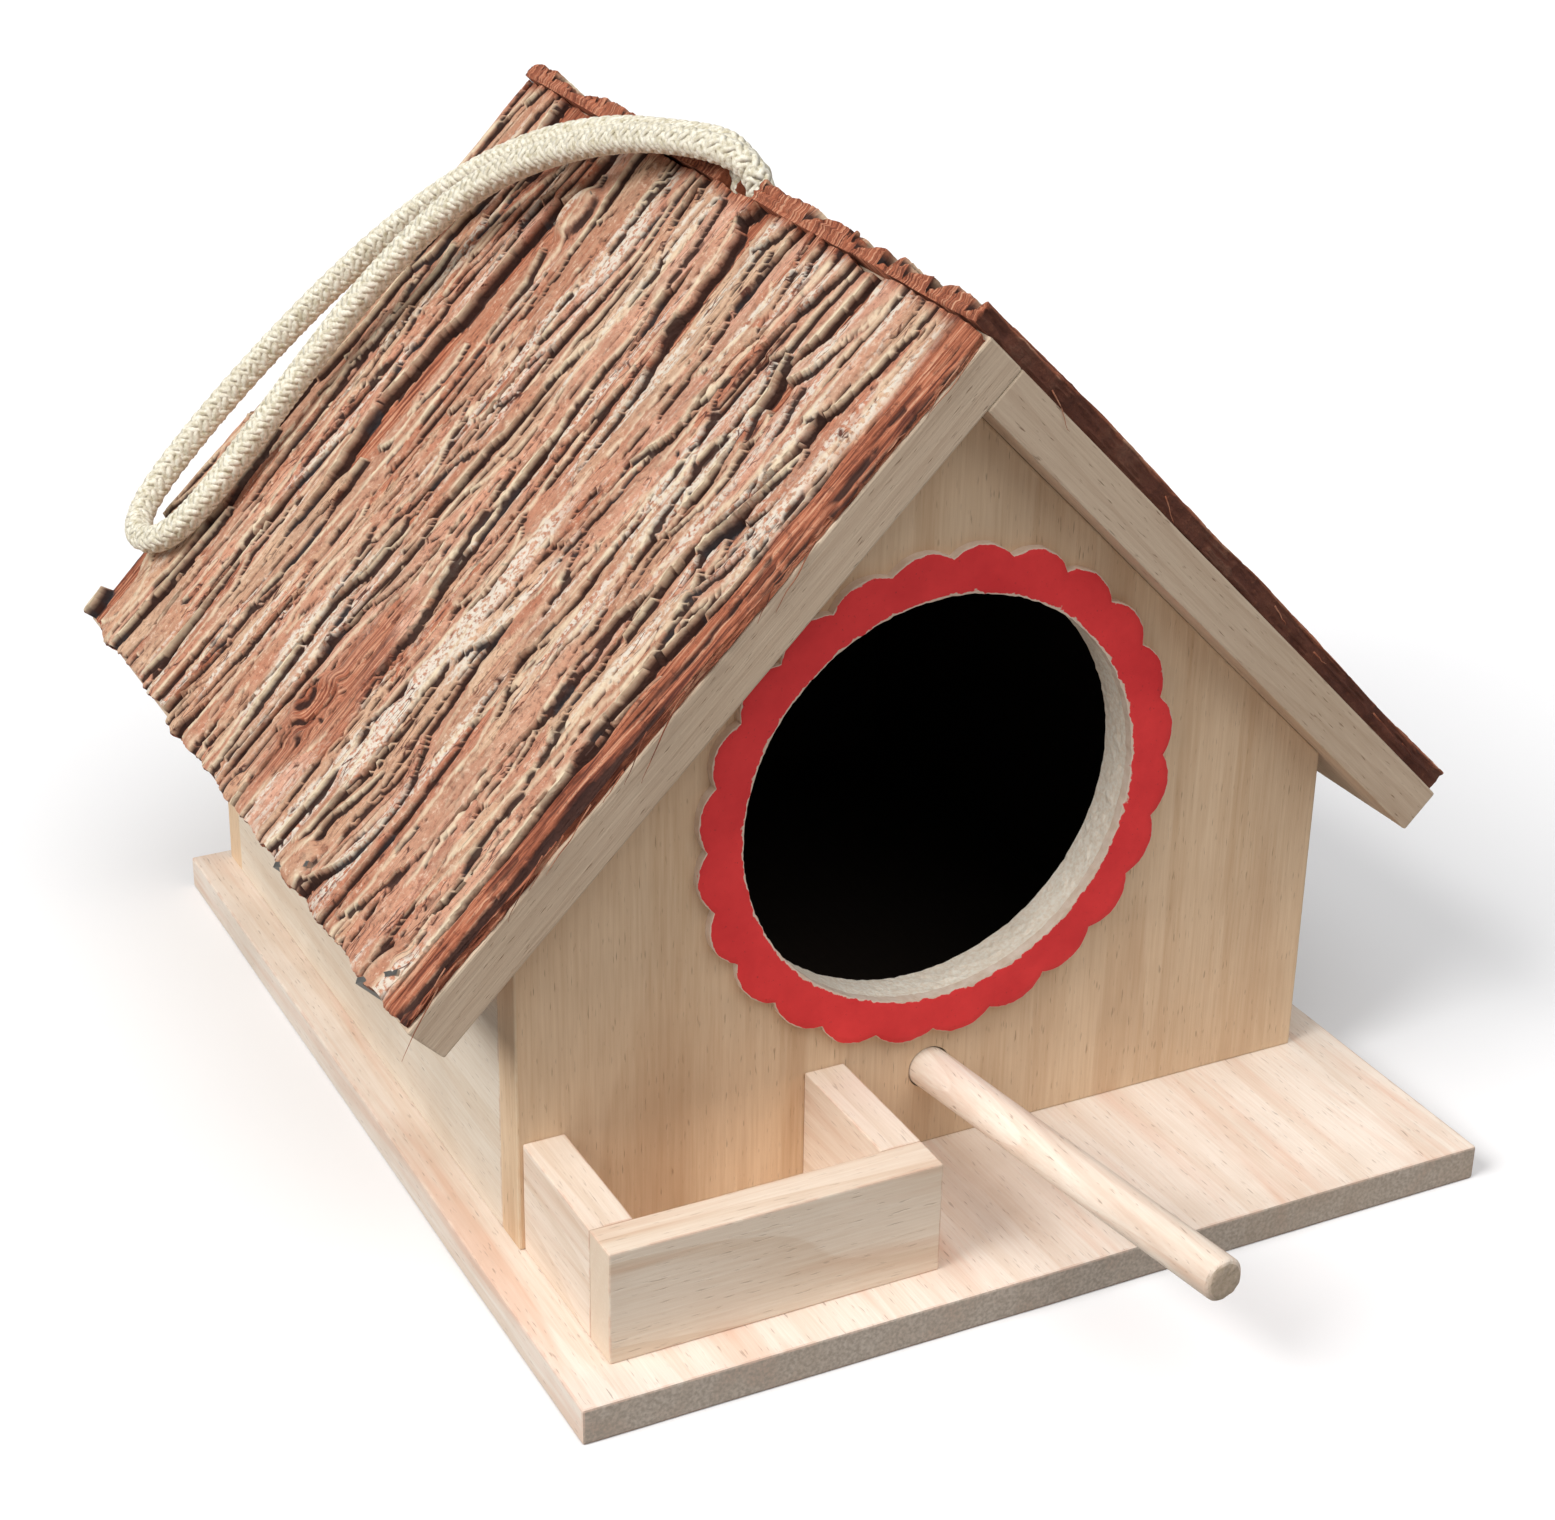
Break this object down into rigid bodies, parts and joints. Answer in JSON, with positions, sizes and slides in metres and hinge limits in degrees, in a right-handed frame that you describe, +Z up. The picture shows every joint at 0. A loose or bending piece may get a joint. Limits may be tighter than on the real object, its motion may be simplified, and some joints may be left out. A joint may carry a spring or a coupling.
{
  "type": "hanging bird feeder",
  "caption": "Small gabled wooden bird feeder with bark on the roof, a round entrance with a red scalloped ring, a dowel perch, a tray on the front ledge and a cotton hanging loop.",
  "frame": {"origin": "centre of the base board underside", "axes": "+Z up, front (entrance, perch and tray) faces -Y, ridge runs along Y"},
  "size_m": [0.216, 0.2689, 0.1819],
  "materials": {
    "base_wood": "raw sanded poplar",
    "panel_wood": "raw sanded poplar",
    "roof_wood": "raw sawn poplar",
    "strip_wood": "raw sawn poplar",
    "dowel_wood": "raw birch dowel",
    "bark": "rough furrowed bark",
    "ring_paint": "matte paint on thin plywood",
    "cotton": "braided cotton",
    "steel": "bright wire"
  },
  "bodies": {
    "root": {"base_board": "base_wood", "front_panel": "panel_wood", "back_panel": "panel_wood", "left_wall": "panel_wood", "right_wall": "panel_wood", "roof_board_left": "roof_wood", "roof_board_right": "roof_wood", "bark_left": "bark", "bark_right": "bark", "entrance_ring": "ring_paint", "perch": "dowel_wood", "tray_front_strip": "strip_wood", "tray_left_strip": "strip_wood", "tray_right_strip": "strip_wood", "hanging_cord": "cotton", "cord_knot": "cotton", "bark_staples": "steel", "roof_nails": "steel", "base_nails": "steel"}
  },
  "joints": []
}
